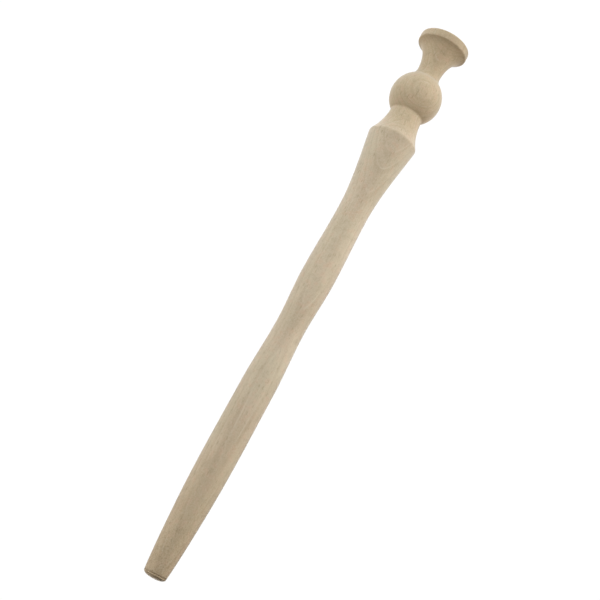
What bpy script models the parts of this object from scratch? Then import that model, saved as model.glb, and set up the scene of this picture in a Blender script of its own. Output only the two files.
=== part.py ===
"""A bar muddler, turned in one piece from a beech rod.

It stands on its pressing face, the flat of the wide disc, with the centre of that face at the
origin and its axis up +Z. From the face up it has a disc, a hollowed neck, a ball, a flared
collar that ends at the shoulder, and a long waved shaft that narrows to a domed tip.
"""

from math import atan, cos, hypot, pi, radians, sin, sqrt, tan

import bpy

# Driving dimensions, in metres. A length runs along the axis and a radius across it.
LENGTH = 0.300

DISC_RADIUS = 0.0132
RIM_HEIGHT = 0.0044
FACE_ROUNDING = 0.0011

NECK_RADIUS = 0.0062
NECK_HOLLOW_LENGTH = 0.0152
HOLLOW_OPENING = 12.5  # degrees of the quarter round that are left off at the rim
NECK_FLARE_LENGTH = 0.0042
NECK_FLARE = 0.00145

BALL_RADIUS = 0.0132
BALL_HALF_LENGTH = 0.01355

COLLAR_RADIUS = 0.0084
COLLAR_LENGTH = 0.0160
SHOULDER_RADIUS = 0.0128
SHOULDER_ROUNDING = 0.0020
SHOULDER_TAPER = -0.15

WAIST_RADIUS = 0.00773
SHOULDER_TO_WAIST = 0.0433
SWELL_RADIUS = 0.00843
WAIST_TO_SWELL = 0.0361
SECOND_WAIST_RADIUS = 0.00727
SWELL_TO_SECOND_WAIST = 0.0283
GRIP_RADIUS = 0.00838
SECOND_WAIST_TO_GRIP = 0.0332

TAPER_START_RADIUS = 0.00767
TAPER_START_SLOPE = -0.051
TAPER_LENGTH = 0.0315
TAPER_END_SLOPE = -0.105
TIP_RADIUS = 0.00555
TIP_FLAT_RADIUS = 0.0010
TIP_DOME_HEIGHT = 0.0020

# How finely the round shapes are cut.
SIDES = 48
ROUNDING_FACETS = 3
HOLLOW_FACETS = 8
BALL_FACETS = 12
SHAFT_FACETS = 7
MERGE_DISTANCE = 0.00001

# Sanded, unfinished beech, as linear colour.
BEECH_COLOUR = (0.515, 0.434, 0.314, 1.0)
BEECH_ROUGHNESS = 0.62


def clear_scene():
    for old in list(bpy.data.objects):
        bpy.data.objects.remove(old, do_unlink=True)


def steps(count):
    """The fractions 1/count, 2/count, ... 1, for a curve whose start is already drawn."""
    return [i / count for i in range(1, count + 1)]


def arc(centre, radii, start, end, facets):
    """Points (radius, height) on an ellipse. Angle 0 points outwards and pi/2 points up."""
    (out, up), (width, height) = centre, radii
    angles = [start + (end - start) * s for s in steps(facets)]
    return [(out + width * cos(a), up + height * sin(a)) for a in angles]


def flow(start, start_slope, end, end_slope, facets):
    """A cubic between two points (radius, height), with the slope of radius over height at each."""
    (r0, z0), (r1, z1) = start, end
    rise = z1 - z0
    points = []
    for s in steps(facets):
        share = s * s * (3 - 2 * s)
        lean = start_slope * s * (1 - s) ** 2 - end_slope * s * s * (1 - s)
        points.append((r0 + (r1 - r0) * share + rise * lean, z0 + rise * s))
    return points


def disc_outline():
    """The pressing face, its rounded edge and the rim."""
    points = [(0.0, 0.0), (DISC_RADIUS - FACE_ROUNDING, 0.0)]
    edge = (DISC_RADIUS - FACE_ROUNDING, FACE_ROUNDING)
    points += arc(edge, (FACE_ROUNDING, FACE_ROUNDING), -pi / 2, 0.0, ROUNDING_FACETS)
    points.append((DISC_RADIUS, RIM_HEIGHT))
    return points


def neck_outline(rim):
    """A hollow from the rim in to the neck, then a slight flare up to the ball.

    The hollow is a quarter round less its first degrees, so it opens outwards at the rim.
    """
    top = rim[1] + NECK_HOLLOW_LENGTH
    opening = radians(HOLLOW_OPENING)
    radii = ((rim[0] - NECK_RADIUS) / (1 - sin(opening)), NECK_HOLLOW_LENGTH / cos(opening))
    centre = (NECK_RADIUS + radii[0], top)
    points = arc(centre, radii, 1.5 * pi - opening, pi, HOLLOW_FACETS)
    flare_start = points[-1]
    flare_end = (NECK_RADIUS + NECK_FLARE, top + NECK_FLARE_LENGTH)
    points += flow(flare_start, 0.0, flare_end, 2 * NECK_FLARE / NECK_FLARE_LENGTH, ROUNDING_FACETS)
    return points


def ball_outline(crease):
    """The ball, from its crease with the neck to its crease with the collar."""
    below = BALL_HALF_LENGTH * sqrt(1 - (crease[0] / BALL_RADIUS) ** 2)
    above = BALL_HALF_LENGTH * sqrt(1 - (COLLAR_RADIUS / BALL_RADIUS) ** 2)
    start = -atan((below / BALL_HALF_LENGTH) / (crease[0] / BALL_RADIUS))
    end = atan((above / BALL_HALF_LENGTH) / (COLLAR_RADIUS / BALL_RADIUS))
    centre = (0.0, crease[1] + below)
    return arc(centre, (BALL_RADIUS, BALL_HALF_LENGTH), start, end, BALL_FACETS)


def collar_outline(crease):
    """A round cove that leaves the ball straight up, and the rounded corner of the shoulder."""
    spread = SHOULDER_RADIUS - crease[0]
    cove = hypot(spread, COLLAR_LENGTH) ** 2 / (2 * spread)
    cove_centre = (crease[0] + cove, crease[1])
    corner = (SHOULDER_RADIUS, crease[1] + COLLAR_LENGTH)
    cove_lean = atan((corner[1] - crease[1]) / (cove_centre[0] - corner[0]))
    taper_lean = atan(SHOULDER_TAPER)
    # The rounding touches the cove and the taper, one tangent length either side of the corner.
    tangent = SHOULDER_ROUNDING * tan((cove_lean - taper_lean) / 2)
    cove_stop = cove_lean - tangent / cove
    points = arc(cove_centre, (cove, cove), pi, pi - cove_stop, HOLLOW_FACETS)
    out, up = points[-1]
    centre = (out - SHOULDER_ROUNDING * cos(cove_stop), up + SHOULDER_ROUNDING * sin(cove_stop))
    radii = (SHOULDER_ROUNDING, SHOULDER_ROUNDING)
    points += arc(centre, radii, -cove_stop, -taper_lean, ROUNDING_FACETS)
    return points


def shaft_outline(shoulder):
    """The waved shaft: it is level with the axis at each waist and swell."""
    heights = [shoulder[1]]
    for run in (SHOULDER_TO_WAIST, WAIST_TO_SWELL, SWELL_TO_SECOND_WAIST, SECOND_WAIST_TO_GRIP):
        heights.append(heights[-1] + run)
    radii = (WAIST_RADIUS, SWELL_RADIUS, SECOND_WAIST_RADIUS, GRIP_RADIUS)
    stations = [(shoulder, SHOULDER_TAPER)]
    stations += [((radius, height), 0.0) for radius, height in zip(radii, heights[1:])]
    tip_edge = LENGTH - TIP_DOME_HEIGHT
    stations.append(((TAPER_START_RADIUS, tip_edge - TAPER_LENGTH), TAPER_START_SLOPE))
    stations.append(((TIP_RADIUS, tip_edge), TAPER_END_SLOPE))
    points = []
    for (start, start_slope), (end, end_slope) in zip(stations, stations[1:]):
        points += flow(start, start_slope, end, end_slope, SHAFT_FACETS)
    return points


def tip_outline(edge):
    """The domed end, with a small flat left where the rod was parted off and sanded."""
    radii = (edge[0] - TIP_FLAT_RADIUS, TIP_DOME_HEIGHT)
    points = arc((TIP_FLAT_RADIUS, edge[1]), radii, 0.0, pi / 2, 2 * ROUNDING_FACETS)
    points.append((0.0, LENGTH))
    return points


def stick_outline():
    """Half the lengthwise section, from the centre of the face to the centre of the tip."""
    points = disc_outline()
    for section in (neck_outline, ball_outline, collar_outline, shaft_outline, tip_outline):
        points += section(points[-1])
    return points


def beech():
    material = bpy.data.materials.new("sanded_beech")
    material.use_nodes = True
    shader = material.node_tree.nodes["Principled BSDF"]
    shader.inputs["Base Color"].default_value = BEECH_COLOUR
    shader.inputs["Roughness"].default_value = BEECH_ROUGHNESS
    shader.inputs["Metallic"].default_value = 0.0
    return material


def turned_stick(collection):
    """The whole outline turned about +Z. The outline runs from the tip down, so faces look out."""
    outline = [(radius, 0.0, height) for radius, height in reversed(stick_outline())]
    edges = [(i, i + 1) for i in range(len(outline) - 1)]
    mesh = bpy.data.meshes.new("turned_stick")
    mesh.from_pydata(outline, edges, [])
    mesh.materials.append(beech())
    stick = bpy.data.objects.new("turned_stick", mesh)
    collection.objects.link(stick)
    lathe = stick.modifiers.new("lathe", "SCREW")
    lathe.axis = "Z"
    lathe.angle = 2 * pi
    lathe.steps = SIDES
    lathe.render_steps = SIDES
    lathe.use_smooth_shade = True
    lathe.use_merge_vertices = True
    lathe.merge_threshold = MERGE_DISTANCE
    return stick


def main():
    clear_scene()
    collection = bpy.data.collections.new("muddler")
    bpy.context.scene.collection.children.link(collection)
    turned_stick(collection)


main()
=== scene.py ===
# %% [markdown]
# # A bar muddler, turned from one beech rod
#
# A muddler presses fruit, herbs and sugar in the bottom of a glass. This one is a single slender
# turning: a flat disc to press with, a hollowed neck, a ball, a flared collar, and a long waved
# shaft that narrows to a domed tip. This lesson turns it on a lathe made of Geometry Nodes, gives
# it sanded beech that is solid all the way through, and lights it in a plain white studio.
#
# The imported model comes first, because it says where everything is. Its one node stands on the
# floor with the turning axis up +Z, so its box gives the stick's length and the disc's radius.

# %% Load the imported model
from math import asin, atan, atan2, cos, hypot, pi, radians, sin, sqrt, tan

import bpy
from mathutils import Matrix, Vector


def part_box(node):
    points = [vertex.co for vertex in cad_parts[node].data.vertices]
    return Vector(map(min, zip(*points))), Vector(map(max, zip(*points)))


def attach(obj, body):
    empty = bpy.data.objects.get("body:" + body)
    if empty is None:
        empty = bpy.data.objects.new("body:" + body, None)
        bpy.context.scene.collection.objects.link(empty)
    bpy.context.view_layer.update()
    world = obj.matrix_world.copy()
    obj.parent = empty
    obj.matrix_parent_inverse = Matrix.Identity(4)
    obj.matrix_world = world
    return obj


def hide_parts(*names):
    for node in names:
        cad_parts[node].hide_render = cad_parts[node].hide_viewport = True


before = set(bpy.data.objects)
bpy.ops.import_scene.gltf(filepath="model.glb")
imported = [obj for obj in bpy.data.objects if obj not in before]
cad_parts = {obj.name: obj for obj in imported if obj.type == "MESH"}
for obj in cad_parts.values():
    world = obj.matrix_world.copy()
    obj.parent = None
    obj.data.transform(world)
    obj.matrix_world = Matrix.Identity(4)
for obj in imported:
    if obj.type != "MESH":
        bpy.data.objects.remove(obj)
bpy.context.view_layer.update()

STICK = "turned_stick"
MM = 0.001
_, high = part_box(STICK)
LENGTH = high.z
DISC_RADIUS = high.x
print(f"{STICK}: {LENGTH / MM:.1f} mm long, {2 * DISC_RADIUS / MM:.1f} mm across")

# %% [markdown]
# ## The turner's drawing
#
# A turner works from half of the lengthwise section: how far out the wood stands at each height.
# It could be a long list of measured points, but then nobody could tell which of them matter.
# Here it is drawn as a turner would call it out, from a few named sizes: round edges and hollows
# are arcs, and the long waves of the shaft are smooth runs between one waist or swell and the next.
#
# Two helpers draw all of it. `arc` gives points on an ellipse, and `flow` gives a cubic run that
# leaves and arrives at a given slope, which is 0 where the shaft is at its thinnest or thickest.
# Both put a point about every 0.6 mm, so the turned surface shows no flats.

# %% Two ways to draw an outline
FINENESS = 0.6 * MM
FEWEST_STEPS = 5


def steps(run):
    """The fractions up to 1 that cut a run of that length, in metres, about every FINENESS."""
    count = max(FEWEST_STEPS, round(run / FINENESS))
    return [i / count for i in range(1, count + 1)]


def arc(centre, radii, start, end):
    """Points (radius, height) on an ellipse. Angle 0 points outwards and pi/2 points up."""
    (out, up), (width, height) = centre, radii
    run = abs(end - start) * max(radii)
    angles = [start + (end - start) * s for s in steps(run)]
    return [(out + width * cos(a), up + height * sin(a)) for a in angles]


def flow(start, start_slope, end, end_slope):
    """A cubic between two points (radius, height), with the slope of radius over height at each."""
    (r0, z0), (r1, z1) = start, end
    rise = z1 - z0
    points = []
    for s in steps(rise):
        share = s * s * (3 - 2 * s)
        lean = start_slope * s * (1 - s) ** 2 - end_slope * s * s * (1 - s)
        points.append((r0 + (r1 - r0) * share + rise * lean, z0 + rise * s))
    return points


print(f"a 10 mm run takes {len(steps(10 * MM))} points")

# %% [markdown]
# ## The disc and its hollow
#
# The disc is what crushes the mint and the lime. Its face is flat, with an edge rounded over so it
# doesn't chip or scratch the glass, and its rim stands straight. Above the rim a gouge sweeps in to
# the neck: a quarter round less its first few degrees, so the wood doesn't thin to a knife edge.
# Where the hollow meets the rim, sanding leaves a small round lip. The lip has to touch both the
# rim and the hollow, so a short loop walks along the hollow until the lip's end meets it.

# %% Pressing face and rim
FACE_ROUNDING = 1.1 * MM
RIM_HEIGHT = 4.4 * MM
NECK_RADIUS = 6.2 * MM
NECK_HOLLOW_LENGTH = 15.2 * MM
HOLLOW_OPENING = radians(12.5)
LIP_ROUNDING = 0.8 * MM

flat_radius = DISC_RADIUS - FACE_ROUNDING
outline = [(0.0, 0.0)]
outline += [(flat_radius * s, 0.0) for s in steps(flat_radius)]
outline += arc((flat_radius, FACE_ROUNDING), (FACE_ROUNDING, FACE_ROUNDING), -pi / 2, 0.0)
depth = DISC_RADIUS - NECK_RADIUS
hollow = (depth / (1 - sin(HOLLOW_OPENING)), NECK_HOLLOW_LENGTH / cos(HOLLOW_OPENING))
print(f"flat face: {2 * flat_radius / MM:.1f} mm across, hollow {depth / MM:.1f} mm deep")

# %% Lip, hollow and neck
NECK_FLARE_LENGTH = 4.2 * MM
NECK_FLARE = 1.45 * MM
LIP_TRIES = 20

neck_height = RIM_HEIGHT + NECK_HOLLOW_LENGTH
lip_turn = HOLLOW_OPENING
for _ in range(LIP_TRIES):
    lip_lean = atan2(hollow[0] * cos(lip_turn), hollow[1] * sin(lip_turn))
    lip_turn = asin(1 - (depth - LIP_ROUNDING * (1 - cos(lip_lean))) / hollow[0])
lip_height = neck_height - hollow[1] * cos(lip_turn) - LIP_ROUNDING * sin(lip_lean)
rim_run = lip_height - FACE_ROUNDING
outline += [(DISC_RADIUS, FACE_ROUNDING + rim_run * s) for s in steps(rim_run)]
lip_centre = (DISC_RADIUS - LIP_ROUNDING, lip_height)
outline += arc(lip_centre, (LIP_ROUNDING, LIP_ROUNDING), 0.0, lip_lean)
outline += arc((NECK_RADIUS + hollow[0], neck_height), hollow, 1.5 * pi - lip_turn, pi)
neck_top = (NECK_RADIUS + NECK_FLARE, neck_height + NECK_FLARE_LENGTH)
outline += flow(outline[-1], 0.0, neck_top, 2 * NECK_FLARE / NECK_FLARE_LENGTH)
print(f"disc and neck: {len(outline)} points up to {outline[-1][1] / MM:.1f} mm")

# %% [markdown]
# ## The ball
#
# The ball is a stop for the fingers and a second thing to crush with. Turned by eye, it is a little
# longer than it is wide. It is drawn as part of an ellipse that starts where the neck cuts it and
# ends where the collar does, so it never has to be joined to either by hand.

# %% Ball
BALL_RADIUS = 13.2 * MM
BALL_HALF_LENGTH = 13.55 * MM
COLLAR_RADIUS = 8.4 * MM

below = sqrt(1 - (neck_top[0] / BALL_RADIUS) ** 2)
above = sqrt(1 - (COLLAR_RADIUS / BALL_RADIUS) ** 2)
ball_centre = (0.0, neck_top[1] + BALL_HALF_LENGTH * below)
ball_start = -atan(below * BALL_RADIUS / neck_top[0])
ball_end = atan(above * BALL_RADIUS / COLLAR_RADIUS)
outline += arc(ball_centre, (BALL_RADIUS, BALL_HALF_LENGTH), ball_start, ball_end)
collar_start = outline[-1]
print(f"ball: centred {ball_centre[1] / MM:.1f} mm up, {2 * BALL_RADIUS / MM:.1f} mm across")

# %% [markdown]
# ## The collar and the shoulder
#
# The collar leaves the ball straight up and sweeps out to the shoulder, the thickest place of the
# shaft, where the heel of the hand rests. The sweep is one round cove. The shoulder's corner is
# sanded to a 2 mm round, which is made to touch the cove below it and the taper above.

# %% Collar and shoulder
COLLAR_LENGTH = 16.0 * MM
SHOULDER_RADIUS = 12.8 * MM
SHOULDER_ROUNDING = 2.0 * MM
SHOULDER_TAPER = -0.15

spread = SHOULDER_RADIUS - collar_start[0]
cove = hypot(spread, COLLAR_LENGTH) ** 2 / (2 * spread)
cove_centre = (collar_start[0] + cove, collar_start[1])
cove_lean = atan(COLLAR_LENGTH / (cove_centre[0] - SHOULDER_RADIUS))
taper_lean = atan(SHOULDER_TAPER)
cove_stop = cove_lean - SHOULDER_ROUNDING * tan((cove_lean - taper_lean) / 2) / cove
outline += arc(cove_centre, (cove, cove), pi, pi - cove_stop)
out, up = outline[-1]
centre = (out - SHOULDER_ROUNDING * cos(cove_stop), up + SHOULDER_ROUNDING * sin(cove_stop))
outline += arc(centre, (SHOULDER_ROUNDING, SHOULDER_ROUNDING), -cove_stop, -taper_lean)
shoulder = outline[-1]
print(f"shoulder: {shoulder[1] / MM:.1f} mm up, {2 * shoulder[0] / MM:.1f} mm across")

# %% [markdown]
# ## The waved shaft and the tip
#
# The shaft is waved so that it doesn't slip in a wet hand. Each wave is given as its distance from
# the last one and the radius of the wood there. Past the grip the shaft tapers to the tip. The
# turner parts the stick off there, and the tool leaves a fine groove round the edge of the low
# dome. The groove is in the outline, so that it catches real shade, and the wood's colour also
# paints a thin dark line of shade along it.

# %% Waves, taper and dome
WAVES = {
    "waist": (43.3 * MM, 7.73 * MM),
    "swell": (36.1 * MM, 8.43 * MM),
    "second waist": (28.3 * MM, 7.27 * MM),
    "grip": (33.2 * MM, 8.38 * MM),
}
TAPER_LENGTH = 31.5 * MM
TAPER_START_RADIUS = 7.67 * MM
TAPER_START_SLOPE = -0.051
TIP_RADIUS = 5.55 * MM
TIP_SLOPE = -0.105
TIP_FLAT_RADIUS = 1.0 * MM
TIP_DOME_HEIGHT = 2.0 * MM
TIP_GROOVE = (0.14 * MM, 0.28 * MM)

stations = [(shoulder, SHOULDER_TAPER)]
for name, (run, radius) in WAVES.items():
    stations.append(((radius, stations[-1][0][1] + run), 0.0))
    print(f"{name}: {stations[-1][0][1] / MM:.1f} mm up, {2 * radius / MM:.1f} mm thick")
tip_edge = LENGTH - TIP_DOME_HEIGHT
stations.append(((TAPER_START_RADIUS, tip_edge - TAPER_LENGTH), TAPER_START_SLOPE))
stations.append(((TIP_RADIUS, tip_edge - TIP_GROOVE[1]), TIP_SLOPE))
for (start, start_slope), (end, end_slope) in zip(stations, stations[1:]):
    outline += flow(start, start_slope, end, end_slope)
outline += arc((TIP_RADIUS, tip_edge), TIP_GROOVE, 1.5 * pi, 0.5 * pi)
dome = (TIP_RADIUS - TIP_FLAT_RADIUS, TIP_DOME_HEIGHT)
dome_start = asin(TIP_GROOVE[1] / TIP_DOME_HEIGHT)
outline += arc((TIP_FLAT_RADIUS, tip_edge), dome, dome_start, pi / 2)
outline.append((0.0, LENGTH))
print(f"outline: {len(outline)} points")

# %% [markdown]
# ## A node and its links
#
# Both the lathe and the wood are node trees. One small function adds a node to either kind: it
# sets the node's own settings, then gives each input a value or a link from another node. A second
# one turns the sRGB hex of a colour chart into the linear values that shaders work in.

# %% One function for every node
def add(tree, kind, settings, sockets, tones=None):
    """A new node, with its settings, and a value or a link for each of the given sockets.

    A ramp's tones are greys from 0 to 1, by their places from 0 to 1.
    """
    made = tree.nodes.new(kind)
    for name, value in settings.items():
        setattr(made, name, value)
    for key, value in sockets.items():
        if isinstance(value, bpy.types.NodeSocket):
            tree.links.new(value, made.inputs[key])
        else:
            made.inputs[key].default_value = value
    if tones:
        made.color_ramp.interpolation = "EASE"
        stops = made.color_ramp.elements
        stops.remove(stops[1])
        for spot, tone in tones.items():
            stop = stops[0] if spot == 0 else stops.new(spot)
            stop.color = (tone, tone, tone, 1.0)
    return made


def linear(hex_colour):
    """A colour written as sRGB hex, such as "C8B898", as the linear values a shader takes."""
    channels = [int(hex_colour[i : i + 2], 16) / 255 for i in (0, 2, 4)]
    return [c / 12.92 if c <= 0.04045 else ((c + 0.055) / 1.055) ** 2.4 for c in channels] + [1.0]


print(f"linear middle grey: {linear('808080')[0]:.3f}")

# %% [markdown]
# ## Where the stick was cut from the tree
#
# Plain beech has no drawn-on picture: its figure is what a turned surface uncovers of growth
# rings, rays and fibres that run through the whole blank. It could be painted on with a UV map,
# but then the lines would not meet across the ball, the hollow and the end. So the wood is solid:
# every pattern is worked out in the tree's own directions, from the stick's Object coordinates.
#
# The blank was split from beside the pith, which ran behind the stick, a little out of line with
# it. Its waves cut the rings at a shallow slant, which draws the long U and V shapes on its front.

# %% Directions in the tree
PITH = (6.0 * MM, 36.0 * MM)
GRAIN_SLANT = (radians(-0.86), radians(0.3), 0.0)

# Beech, turned, sanded fine and left bare: pale, dry and matt, with a soft bloom at its edges.
beech = bpy.data.materials.new("fine_sanded_beech")
beech.use_nodes = True
wood = beech.node_tree
shader = wood.nodes["Principled BSDF"]
place = add(wood, "ShaderNodeTexCoord", {}, {})
log = add(wood, "ShaderNodeMapping", {}, {
    "Vector": place.outputs["Object"],
    "Location": (-PITH[0], -PITH[1], 0.0),
    "Rotation": GRAIN_SLANT,
})
print(f"pith: {hypot(*PITH) / MM:.0f} mm from the turning axis")

# %% [markdown]
# A tree never grows quite straight. One slow noise pushes the whole coordinate sideways by less
# than a millimetre, so that everything drawn later bends together, as it does in a real plank.

# %% A slow bend
BEND_LENGTH = (30 * MM, 30 * MM, 75 * MM)
BEND = 1.2 * MM
HALF = (0.5, 0.5, 0.5)


def every(sizes):
    """The scale that makes one unit of a pattern as long as each of the given sizes."""
    return tuple(1 / size for size in sizes)


slow = add(wood, "ShaderNodeMapping", {}, {"Vector": log.outputs[0], "Scale": every(BEND_LENGTH)})
drift = add(wood, "ShaderNodeTexNoise", {}, {
    "Vector": slow.outputs[0], "Scale": 1.0, "Detail": 1.0})
sideways = add(wood, "ShaderNodeVectorMath", {"operation": "SUBTRACT"}, {
    0: drift.outputs["Color"], 1: HALF})
bent = add(wood, "ShaderNodeVectorMath", {"operation": "MULTIPLY_ADD"}, {
    0: sideways.outputs[0], 1: (BEND, BEND, 0.0), 2: log.outputs[0]})
print(f"bend: up to {BEND / 2 / MM:.1f} mm each way")

# %% [markdown]
# The bent coordinate is then read round the pith, as a forester would: along a ring, out from the
# pith to the bark, and up the trunk. The angle round the pith is turned into millimetres at the
# stick's front, so that sizes in all three directions are real ones there.

# %% Round the pith, out to the bark, up the trunk
USUAL_RADIUS = 8.0 * MM
FRONT_FROM_PITH = PITH[1] + USUAL_RADIUS

parts = add(wood, "ShaderNodeSeparateXYZ", {}, {0: bent.outputs[0]})
flat = add(wood, "ShaderNodeCombineXYZ", {}, {"X": parts.outputs["X"], "Y": parts.outputs["Y"]})
from_pith = add(wood, "ShaderNodeVectorMath", {"operation": "LENGTH"}, {0: flat.outputs[0]})
outward = from_pith.outputs["Value"]
to_front = add(wood, "ShaderNodeMath", {"operation": "MULTIPLY"}, {0: parts.outputs["Y"], 1: -1.0})
bearing = add(wood, "ShaderNodeMath", {"operation": "ARCTAN2"}, {
    0: parts.outputs["X"], 1: to_front.outputs[0]})
around = add(wood, "ShaderNodeMath", {"operation": "MULTIPLY"}, {
    0: bearing.outputs[0], 1: FRONT_FROM_PITH})
tree_place = add(wood, "ShaderNodeCombineXYZ", {}, {
    "X": around.outputs[0], "Y": outward, "Z": parts.outputs["Z"]})
print(f"stick's front: {FRONT_FROM_PITH / MM:.0f} mm from the pith")

# %% [markdown]
# ## Growth rings
#
# A beech ring ends in a thin, dense band with few pores. On bare wood sanded smooth, that end can
# show as a fine pale line beside slightly darker late wood. A Wave texture could draw even
# stripes, but a ring rises slowly and ends suddenly, so here the distance from the pith is cut
# into rings and one ramp gives the tone across a ring, from last year's end to this year's.

# %% Rings
RING_WIDTH = 1.75 * MM
RING_UNEVENNESS = 0.5
RINGS_ALIKE = 2.5
RING_TONES = {0.00: 0.55, 0.10: 0.47, 0.45: 0.42, 0.72: 0.30, 0.84: 0.36, 0.92: 0.95, 1.00: 0.55}

good_years = add(wood, "ShaderNodeTexNoise", {"noise_dimensions": "1D"}, {
    "W": outward, "Scale": 1 / (RINGS_ALIKE * RING_WIDTH), "Detail": 1.0})
years = add(wood, "ShaderNodeMath", {"operation": "DIVIDE"}, {0: outward, 1: RING_WIDTH})
uneven = add(wood, "ShaderNodeMath", {"operation": "MULTIPLY_ADD"}, {
    0: good_years.outputs["Fac"], 1: RING_UNEVENNESS, 2: years.outputs[0]})
age = add(wood, "ShaderNodeMath", {"operation": "FRACT"}, {0: uneven.outputs[0]})
rings = add(wood, "ShaderNodeValToRGB", {}, {"Fac": age.outputs[0]}, RING_TONES)
print(f"rings: {2 * DISC_RADIUS / RING_WIDTH:.0f} across the disc")

# %% [markdown]
# ## Rays
#
# Beech is known by its rays: ribbons of cells that run out from the pith like spokes. Cut end on,
# on the stick's front, they are short brown dashes that taper at both ends. Cut lengthwise, on
# its sides, they are broad flecks. One Voronoi pattern of long cells gives both, because its
# cells are stretched out from the pith. Half of the cells are left empty, so the dashes lie as
# unevenly as real ones. Real rays are only about 0.2 mm thick, too fine to show, so these are
# drawn a few times as coarse.

# %% Rays
RAY_SPACING = (0.95 * MM, 9.0 * MM, 3.4 * MM)
RAY_EDGE = 0.42
RAY_MIDDLE = 0.12
EMPTY_CELLS = 0.5

ray_place = add(wood, "ShaderNodeMapping", {}, {
    "Vector": tree_place.outputs[0], "Scale": every(RAY_SPACING)})
ray_cells = add(wood, "ShaderNodeTexVoronoi", {"feature": "F1"}, {
    "Vector": ray_place.outputs[0], "Scale": 1.0})
from_ray = ray_cells.outputs["Distance"]
ray_shape = add(wood, "ShaderNodeMapRange", {"interpolation_type": "SMOOTHSTEP"}, {
    "Value": from_ray, "From Min": RAY_EDGE, "From Max": RAY_MIDDLE})
ray_chance = add(wood, "ShaderNodeSeparateColor", {}, {0: ray_cells.outputs["Color"]})
ray_depth = add(wood, "ShaderNodeMapRange", {}, {
    "Value": ray_chance.outputs["Red"], "From Min": EMPTY_CELLS, "From Max": 1.0})
rays = add(wood, "ShaderNodeMath", {"operation": "MULTIPLY"}, {
    0: ray_shape.outputs[0], 1: ray_depth.outputs[0]})
print(f"rays: one in each {RAY_SPACING[0] / MM:.2f} by {RAY_SPACING[2] / MM:.1f} mm of the front")

# %% [markdown]
# ## Fibres, mottling and fuzz
#
# Everything else in the wood is soft noise, each at its own real size. Fibres are pulled out along
# the trunk. Mottling and hue are slow: the sap left some places pinker and some greyer. Ring fade
# wipes out stretches of the rings, as sanding and sap do. Speckle is a change of hue over a few
# millimetres. Fuzz is the nap of cut fibre ends that sandpaper raises on bare wood. It is really
# 0.1 mm fine, so it is drawn six times as coarse to show at all.
#
# They differ only in size and detail, so one table and one loop make them all.

# %% Soft patterns
TRUNK = tree_place.outputs[0]
STICK_PLACE = place.outputs["Object"]
SOFT_PATTERNS = {
    "ring fade": (TRUNK, (5.0 * MM, 3.0 * MM, 22.0 * MM), (0.0, 0.0, 11.0), 2.0, 0.5),
    "fibres": (TRUNK, (0.55 * MM, 0.55 * MM, 14.0 * MM), (0.0, 0.0, 0.0), 3.0, 0.6),
    "mottling": (TRUNK, (11.0 * MM, 11.0 * MM, 20.0 * MM), (0.0, 0.0, 0.0), 2.0, 0.5),
    "hue": (TRUNK, (13.75 * MM, 13.75 * MM, 25.0 * MM), (2.4, 5.6, 4.0), 1.0, 0.5),
    "speckle": (STICK_PLACE, (3.0 * MM, 3.0 * MM, 3.0 * MM), (0.0, 0.0, 0.0), 1.0, 0.5),
    "fuzz": (STICK_PLACE, (0.62 * MM, 0.62 * MM, 0.62 * MM), (0.0, 0.0, 0.0), 2.0, 0.7),
}

soft = {}
for name, (where, size, shift, detail, roughness) in SOFT_PATTERNS.items():
    scaled = add(wood, "ShaderNodeMapping", {}, {
        "Vector": where, "Location": shift, "Scale": every(size)})
    noise = add(wood, "ShaderNodeTexNoise", {}, {
        "Vector": scaled.outputs[0], "Scale": 1.0, "Detail": detail, "Roughness": roughness})
    soft[name] = noise.outputs["Fac"]
    print(f"{name}: {size[0] / MM:.2f} mm across, {size[2] / MM:.2f} mm along")

# %% [markdown]
# ## What the tools did, and painted shade in the groove
#
# Four more things are laid on last. End grain drinks in light, so a face across the grain is
# darker: the surface normal's Z says how far it lies across. Along the groove at the dome's edge, a
# thin dark line is painted shade, on top of the shade that the groove itself catches. The narrow
# end was held last and sanded least, so its fibres are more torn. These two go by the height on the
# stick. And sanding wiped out stretches of the ring ends, where the ring fade is low.

# %% Cut, painted groove shade and torn fibres
# Half the width of a thin dark line of painted shade laid along the groove at the dome's edge.
GROOVE_SHADE_HALF_WIDTH = 0.35 * MM
TORN_FROM = LENGTH - 38.0 * MM
TORN_TO = LENGTH - 8.0 * MM
RING_WIPED = 0.40
RING_CLEAR = 0.62
RING_TRACE = 0.10

cut = add(wood, "ShaderNodeSeparateXYZ", {}, {0: place.outputs["Normal"]})
end_grain = add(wood, "ShaderNodeMath", {"operation": "ABSOLUTE"}, {0: cut.outputs["Z"]})
height = add(wood, "ShaderNodeSeparateXYZ", {}, {0: STICK_PLACE}).outputs["Z"]
above_groove_shade = add(wood, "ShaderNodeMath", {"operation": "SUBTRACT"}, {0: height, 1: tip_edge})
from_groove_shade = add(wood, "ShaderNodeMath", {"operation": "ABSOLUTE"}, {0: above_groove_shade.outputs[0]})
torn = add(wood, "ShaderNodeMapRange", {"interpolation_type": "SMOOTHSTEP"}, {
    "Value": height, "From Min": TORN_FROM, "From Max": TORN_TO})
worn = add(wood, "ShaderNodeMapRange", {"interpolation_type": "SMOOTHSTEP"}, {
    "Value": soft["ring fade"], "From Min": RING_WIPED, "From Max": RING_CLEAR,
    "To Min": RING_TRACE})
print(f"painted groove shade: {tip_edge / MM:.1f} mm up, {2 * GROOVE_SHADE_HALF_WIDTH / MM:.1f} mm wide")
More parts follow.
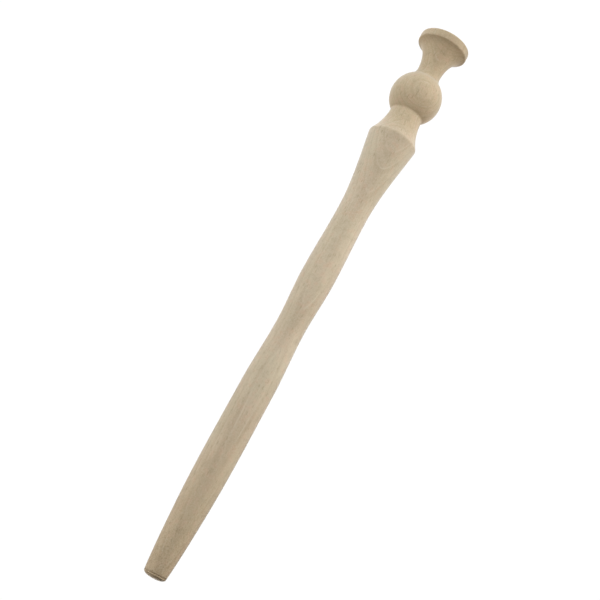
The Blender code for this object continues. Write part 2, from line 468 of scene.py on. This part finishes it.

# %% [markdown]
# ## Colour
#
# The colours are laid over each other from the bottom up, as the eye sorts them: two beiges that
# the sap moves between, darker and warmer towards both ends, which is partly the wood's own colour
# and partly painted shade, then paler or darker for the speckle, the rings, the fibres and the
# rays, and last what the tools did, with a thin dark line of painted shade along the groove at the
# tip. Each coat has a pattern, the value at which it starts, the value at which it is full, how
# strong it is then, and sometimes a mask.

# %% The coats
PINKISH_BEIGE = "D0BDA1"
GREYISH_BEIGE = "CEBEA1"
PALE_RING_END = "D9CDB4"
LATE_WOOD = "957A5A"
COATS = [
    ("greyer sapwood", GREYISH_BEIGE, soft["hue"], 0.35, 0.65, 1.0, 1.0),
    # The two end coats make the wood darker and warmer towards the head and the tip: partly its own
    # colour, partly painted shade.
    ("warm head and painted shade", "CDB489", height, 64 * MM, 50 * MM, 0.42, 1.0),
    ("warm tip and painted shade", "C6A97F", height, 190 * MM, LENGTH, 0.50, 1.0),
    ("pink speckle", "D6B598", soft["speckle"], 0.50, 0.75, 0.38, 1.0),
    ("green speckle", "B7A588", soft["speckle"], 0.50, 0.25, 0.30, 1.0),
    ("dark mottling", LATE_WOOD, soft["mottling"], 0.35, 0.68, 0.14, 1.0),
    ("ring ends", PALE_RING_END, rings.outputs["Color"], 0.50, 1.00, 0.40, worn.outputs[0]),
    ("late wood", LATE_WOOD, rings.outputs["Color"], 0.45, 0.28, 0.12, 1.0),
    ("pale fibres", PALE_RING_END, soft["fibres"], 0.50, 0.72, 0.12, 1.0),
    ("dark fibres", LATE_WOOD, soft["fibres"], 0.50, 0.30, 0.09, 1.0),
    ("pale fuzz", PALE_RING_END, soft["fuzz"], 0.50, 0.80, 0.42, 1.0),
    ("dark fuzz", LATE_WOOD, soft["fuzz"], 0.50, 0.20, 0.32, 1.0),
    ("torn tip", LATE_WOOD, soft["fuzz"], 0.50, 0.30, 0.34, torn.outputs[0]),
    ("rays", "8A6F4B", from_ray, RAY_EDGE, RAY_MIDDLE, 0.36, ray_depth.outputs[0]),
    ("end grain", "7E6A48", end_grain.outputs[0], 0.55, 1.00, 0.25, 1.0),
    # A thin dark line of painted shade along the groove at the dome's edge.
    ("painted groove shade", "6A5230", from_groove_shade.outputs[0], GROOVE_SHADE_HALF_WIDTH, 0.0, 0.50, 1.0),
]

print(f"{len(COATS)} coats over {PINKISH_BEIGE}: {', '.join(coat[0] for coat in COATS)}")

# %% [markdown]
# A Mix node has a set of sockets for each type of data, all called A and B, so the two for colour
# are picked by their numbers. Each pass of the loop lays one coat on the colour so far.

# %% Lay them over each other
COLOUR_BELOW = 6
COLOUR_ABOVE = 7
COLOUR_OUT = 2

colour = linear(PINKISH_BEIGE)
for _, tint, pattern, start, full, strength, mask in COATS:
    amount = add(wood, "ShaderNodeMapRange", {"interpolation_type": "SMOOTHSTEP"}, {
        "Value": pattern, "From Min": start, "From Max": full, "To Max": strength})
    masked = add(wood, "ShaderNodeMath", {"operation": "MULTIPLY"}, {0: amount.outputs[0], 1: mask})
    coat = add(wood, "ShaderNodeMix", {"data_type": "RGBA"}, {
        0: masked.outputs[0], COLOUR_BELOW: colour, COLOUR_ABOVE: linear(tint)})
    colour = coat.outputs[COLOUR_OUT]
wood.links.new(colour, shader.inputs["Base Color"])
print(f"wood so far: {len(wood.nodes)} nodes")

# %% [markdown]
# ## Sheen, roughness and relief
#
# Nothing was put on this beech after sanding, so there is no coat and no gloss. Light only skims
# off the raised nap, which is what Sheen is for: it lifts the edges of the round shapes, as on
# felt. Rays are denser than the wood between them and take a smoother face. The relief is fibres
# less rays, so rays lie a little low. It is a few hundredths of a millimetre, only enough to break
# up the light.

# %% Sheen, roughness and relief
BARE_ROUGHNESS = 0.66
RAY_ROUGHNESS = 0.54
RELIEF_DEPTH = 0.06 * MM
RELIEF_STRENGTH = 0.25

shader.inputs["IOR"].default_value = 1.5
shader.inputs["Specular IOR Level"].default_value = 0.25
shader.inputs["Sheen Weight"].default_value = 0.40
shader.inputs["Sheen Roughness"].default_value = 0.38
roughness = add(wood, "ShaderNodeMapRange", {"interpolation_type": "SMOOTHSTEP"}, {
    "Value": rays.outputs[0], "To Min": BARE_ROUGHNESS, "To Max": RAY_ROUGHNESS})
wood.links.new(roughness.outputs[0], shader.inputs["Roughness"])
relief = add(wood, "ShaderNodeMath", {"operation": "SUBTRACT"}, {
    0: soft["fibres"], 1: rays.outputs[0]})
grain_bump = add(wood, "ShaderNodeBump", {}, {
    "Height": relief.outputs[0], "Strength": RELIEF_STRENGTH, "Distance": RELIEF_DEPTH})
wood.links.new(grain_bump.outputs[0], shader.inputs["Normal"])
print(f"{beech.name}: {len(wood.nodes)} nodes")

# %% [markdown]
# ## The lathe
#
# A turned piece follows one rule: its outline goes once round an axis. The Screw modifier would do
# that in a single step, but a small Geometry Nodes tree shows how it is done and can finish the
# piece as well. It starts from a flat sheet with a row for each point of the outline, a column for
# each side, and one more column to close the round. Its inputs are named, so the same lathe could
# turn anything else.

# %% The lathe's inputs
LATHE_INPUTS = {
    "Outline": "NodeSocketGeometry",
    "Sides": "NodeSocketInt",
    "Merge Distance": "NodeSocketFloat",
    "Finish": "NodeSocketMaterial",
}

lathe = bpy.data.node_groups.new("lathe", "GeometryNodeTree")
for name, kind in LATHE_INPUTS.items():
    lathe.interface.new_socket(name, in_out="INPUT", socket_type=kind)
lathe.interface.new_socket("Turning", in_out="OUTPUT", socket_type="NodeSocketGeometry")
given = add(lathe, "NodeGroupInput", {}, {}).outputs
print(f"lathe takes: {', '.join(LATHE_INPUTS)}")

# %% A sheet with a row for each point
counted = add(lathe, "GeometryNodeAttributeDomainSize", {"component": "MESH"}, {
    0: given["Outline"]})
rows = counted.outputs["Point Count"]
columns = add(lathe, "ShaderNodeMath", {"operation": "ADD"}, {0: given["Sides"], 1: 1.0})
sheet = add(lathe, "GeometryNodeMeshGrid", {}, {
    "Size X": 1.0, "Size Y": 1.0, "Vertices X": columns.outputs[0], "Vertices Y": rows})
print(f"sheet: {len(outline)} rows")

# %% [markdown]
# The sheet is 1 wide and 1 high, with its middle at the origin. So a point's X, from -0.5 to 0.5,
# is its share of a full turn, and its Y gives its row. The row picks a radius and a height from
# the outline, and sine and cosine carry them round.

# %% Carry the outline round
FULL_TURN = 2 * pi
SHEET_BOTTOM = -0.5

here = add(lathe, "GeometryNodeInputPosition", {}, {})
on_sheet = add(lathe, "ShaderNodeSeparateXYZ", {}, {0: here.outputs[0]})
turn = add(lathe, "ShaderNodeMath", {"operation": "MULTIPLY"}, {
    0: on_sheet.outputs["X"], 1: FULL_TURN})
last_row = add(lathe, "ShaderNodeMath", {"operation": "SUBTRACT"}, {0: rows, 1: 1.0})
up_sheet = add(lathe, "ShaderNodeMath", {"operation": "SUBTRACT"}, {
    0: on_sheet.outputs["Y"], 1: SHEET_BOTTOM})
row = add(lathe, "ShaderNodeMath", {"operation": "MULTIPLY"}, {
    0: up_sheet.outputs[0], 1: last_row.outputs[0]})
whole_row = add(lathe, "ShaderNodeMath", {"operation": "ROUND"}, {0: row.outputs[0]})
picked = add(lathe, "GeometryNodeSampleIndex", {"data_type": "FLOAT_VECTOR", "domain": "POINT"}, {
    "Geometry": given["Outline"], "Value": here.outputs[0], "Index": whole_row.outputs[0]})
drawn = add(lathe, "ShaderNodeSeparateXYZ", {}, {0: picked.outputs["Value"]})
cosine = add(lathe, "ShaderNodeMath", {"operation": "COSINE"}, {0: turn.outputs[0]})
sine = add(lathe, "ShaderNodeMath", {"operation": "SINE"}, {0: turn.outputs[0]})
to_side = add(lathe, "ShaderNodeMath", {"operation": "MULTIPLY"}, {
    0: drawn.outputs["X"], 1: cosine.outputs[0]})
to_back = add(lathe, "ShaderNodeMath", {"operation": "MULTIPLY"}, {
    0: drawn.outputs["X"], 1: sine.outputs[0]})
turned = add(lathe, "ShaderNodeCombineXYZ", {}, {
    "X": to_side.outputs[0], "Y": to_back.outputs[0], "Z": drawn.outputs["Z"]})
print(f"lathe so far: {len(lathe.nodes)} nodes")

# %% [markdown]
# The first column now lies on the last, and each end row is many points in one place. Merging
# points that are very close closes the seam and both poles. Smooth shading lets the light run
# over the sides without steps, and the last two nodes make everything real and give it its finish.

# %% Close it, smooth it and give it its finish
wrapped = add(lathe, "GeometryNodeSetPosition", {}, {
    "Geometry": sheet.outputs["Mesh"], "Position": turned.outputs[0]})
closed = add(lathe, "GeometryNodeMergeByDistance", {}, {
    "Geometry": wrapped.outputs[0], "Distance": given["Merge Distance"]})
smooth = add(lathe, "GeometryNodeSetShadeSmooth", {}, {"Geometry": closed.outputs[0]})
real = add(lathe, "GeometryNodeRealizeInstances", {}, {"Geometry": smooth.outputs[0]})
finished = add(lathe, "GeometryNodeSetMaterial", {}, {
    "Geometry": real.outputs[0], "Material": given["Finish"]})
add(lathe, "NodeGroupOutput", {}, {0: finished.outputs[0]})
print(f"lathe: {len(lathe.nodes)} nodes")

# %% [markdown]
# ## Turn the stick
#
# The outline becomes a mesh of points and edges, which is the blank, and the lathe is put on it as
# a modifier. A modifier's inputs are set by each socket's identifier, because two sockets may have
# the same name. The turned result is then taken off as a plain mesh, and the blank and its
# modifier are thrown away. 160 sides keep the edge of the 26 mm disc round even from close by.

# %% Turn the stick
SIDES = 160
MERGE_DISTANCE = 0.005 * MM

drawing = bpy.data.meshes.new("outline")
edges = [(i, i + 1) for i in range(len(outline) - 1)]
drawing.from_pydata([(radius, 0.0, z) for radius, z in outline], edges, [])
blank = bpy.data.objects.new("blank", drawing)
bpy.context.scene.collection.objects.link(blank)
modifier = blank.modifiers.new("lathe", "NODES")
modifier.node_group = lathe
LATHE_SETTINGS = {"Sides": SIDES, "Merge Distance": MERGE_DISTANCE, "Finish": beech}
for item in lathe.interface.items_tree:
    if item.in_out == "INPUT" and item.name in LATHE_SETTINGS:
        modifier[item.identifier] = LATHE_SETTINGS[item.name]
bpy.context.view_layer.update()
graph = bpy.context.evaluated_depsgraph_get()
mesh = bpy.data.meshes.new_from_object(blank.evaluated_get(graph))
bpy.data.objects.remove(blank)
mesh.name = "beech_muddler"
mesh.materials.clear()
mesh.materials.append(beech)
mesh.polygons.foreach_set("material_index", [0] * len(mesh.polygons))
mesh.calc_loop_triangles()
print(f"turned: {len(mesh.vertices)} points, {len(mesh.loop_triangles)} triangles")

# %% [markdown]
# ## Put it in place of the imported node
#
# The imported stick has 48 sides and stays behind the scenes as what other things bump into. The
# turned one stands for it in every picture. It keeps its place in its mesh and its object at the
# origin, unturned and unscaled, so the wood's patterns stay where they are on it.

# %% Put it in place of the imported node
stick = bpy.data.objects.new("beech_muddler", mesh)
bpy.context.scene.collection.objects.link(stick)
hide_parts(STICK)
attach(stick, "root")
print(f"{stick.name} stands for {STICK}")

# %% [markdown]
# ## The floor
#
# The stick stands on a round table of frosted white acrylic that glows from beneath, as in a
# product studio: light comes up at the wood from all round, and the white runs out of sight with no
# shadow. A plain pale floor under strong lamps could be as white, but the stick would throw a
# shadow across it. The glow is strongest in a ring from 0.20 to 0.31 m out, so it reaches the shaft
# and the ball more than the disc.
#
# The ring itself must not show. A Light Path node tells whether a ray comes from the camera: the
# camera sees even white paper, as bright as the backdrop, and the wood gets the glow.

# %% How the table glows
TABLE_RADIUS = 0.70
TABLE_TOP = "F2F2F2"
TABLE_GLOW = "E8F3FF"
PAPER_WHITE = 1.03
GLOW = {0.00: 0.836, 0.12: 0.836, 0.20: 1.98, 0.31: 1.98, 0.42: 1.386, TABLE_RADIUS: 1.342}
BRIGHTEST = max(GLOW.values())

# Opal acrylic, matt on top: an even white with no gloss, which carries light sideways.
table = bpy.data.materials.new("frosted_white_acrylic")
table.use_nodes = True
opal = table.node_tree
opal_shader = opal.nodes["Principled BSDF"]
opal_shader.inputs["Base Color"].default_value = linear(TABLE_TOP)
opal_shader.inputs["Roughness"].default_value = 0.9
opal_shader.inputs["Emission Color"].default_value = linear(TABLE_GLOW)
table_place = add(opal, "ShaderNodeTexCoord", {}, {})
from_stick = add(opal, "ShaderNodeVectorMath", {"operation": "LENGTH"}, {
    0: table_place.outputs["Object"]})
share = add(opal, "ShaderNodeMath", {"operation": "DIVIDE"}, {
    0: from_stick.outputs["Value"], 1: TABLE_RADIUS})
glow = add(opal, "ShaderNodeValToRGB", {}, {"Fac": share.outputs[0]},
           {far / TABLE_RADIUS: level / BRIGHTEST for far, level in GLOW.items()})
strength = add(opal, "ShaderNodeMath", {"operation": "MULTIPLY"}, {
    0: glow.outputs["Color"], 1: BRIGHTEST})
opal.links.new(strength.outputs[0], opal_shader.inputs["Emission Strength"])
print(f"glow: {min(GLOW.values()):.2f} to {BRIGHTEST:.2f}")

# %% The floor
TABLE_SIDES = 96

paper = add(opal, "ShaderNodeEmission", {}, {"Strength": PAPER_WHITE})
path = add(opal, "ShaderNodeLightPath", {}, {})
seen = add(opal, "ShaderNodeMixShader", {}, {
    0: path.outputs["Is Camera Ray"], 1: opal_shader.outputs[0], 2: paper.outputs[0]})
opal.links.new(seen.outputs[0], opal.nodes["Material Output"].inputs["Surface"])
bpy.ops.mesh.primitive_circle_add(vertices=TABLE_SIDES, radius=TABLE_RADIUS, fill_type="NGON")
floor = bpy.context.object
floor.name = "floor"
floor.data.materials.append(table)
print(f"floor: {2 * TABLE_RADIUS:.1f} m across")

# %% [markdown]
# ## Soft light
#
# Four square softboxes shape the wood: a large one high on the left and one high behind light the
# long sides, and two small ones low on the right and front keep the ball and the disc's rim from
# going dull. The backdrop is plain white that only the camera sees, so it adds no light.

# %% Softboxes
AIM = Vector((0.0, 0.0, 0.12))
WARM = "FFF6EC"
NEUTRAL = "FDFBF8"
SOFTBOXES = {
    "left_high": {"spot": (0.80, 0.0, 0.75), "side": 0.60, "watts": 4.94, "tint": NEUTRAL},
    "behind_high": {"spot": (0.0, 0.80, 0.75), "side": 0.60, "watts": 4.41, "tint": WARM},
    "right_low": {"spot": (-0.55, 0.0, 0.13), "side": 0.24, "watts": 0.64, "tint": WARM},
    "front_low": {"spot": (-0.275, -0.476, 0.13), "side": 0.24, "watts": 0.67, "tint": WARM},
}

for name, box in SOFTBOXES.items():
    light = bpy.data.lights.new(name, "AREA")
    light.shape = "SQUARE"
    light.size = box["side"]
    light.energy = box["watts"]
    light.color = linear(box["tint"])[:3]
    lamp = bpy.data.objects.new(name, light)
    bpy.context.scene.collection.objects.link(lamp)
    lamp.location = box["spot"]
    lamp.rotation_euler = (AIM - lamp.location).to_track_quat("-Z", "Y").to_euler()
    lamp.visible_camera = False
    print(f"{name}: {box['watts']} W, {(AIM - lamp.location).length:.2f} m away")

# %% Backdrop
world = bpy.data.worlds.new("white_backdrop")
bpy.context.scene.world = world
world.use_nodes = True
backdrop = world.node_tree.nodes["Background"]
backdrop.inputs["Color"].default_value = linear("FFFFFF")
backdrop.inputs["Strength"].default_value = PAPER_WHITE
for ray in ("diffuse", "glossy", "transmission", "scatter"):
    setattr(world.cycles_visibility, ray, False)
print(f"backdrop: {PAPER_WHITE} for the camera, dark for everything else")

# %% [markdown]
# ## Camera
#
# The camera looks slightly down at the stick from the height of its tip, rolled far over so that
# the stick lies from corner to corner with its disc at the top. The tip is nearer than the disc,
# so it is drawn about 15% larger for its size. The Standard view shows each colour as it was
# mixed, so white stays white.

# %% Camera
CAMERA_SPOT = (0.0, -0.5212, 0.2940)
LOOK_DOWN = 14.865
SWING = -0.242
ROLL = -151.248
FOCAL_LENGTH = 67.98
SENSOR_WIDTH = 36.0

lens = bpy.data.cameras.new("camera")
lens.lens = FOCAL_LENGTH
lens.sensor_width = SENSOR_WIDTH
camera = bpy.data.objects.new("camera", lens)
bpy.context.scene.collection.objects.link(camera)
camera.matrix_world = (
    Matrix.Translation(CAMERA_SPOT)
    @ Matrix.Rotation(radians(SWING), 4, "Z")
    @ Matrix.Rotation(radians(90.0 - LOOK_DOWN), 4, "X")
    @ Matrix.Rotation(radians(ROLL), 4, "Z")
)
bpy.context.scene.camera = camera
bpy.context.scene.view_settings.view_transform = "Standard"
print(f"camera: {hypot(*CAMERA_SPOT[:2]) / MM:.0f} mm in front of the stick")
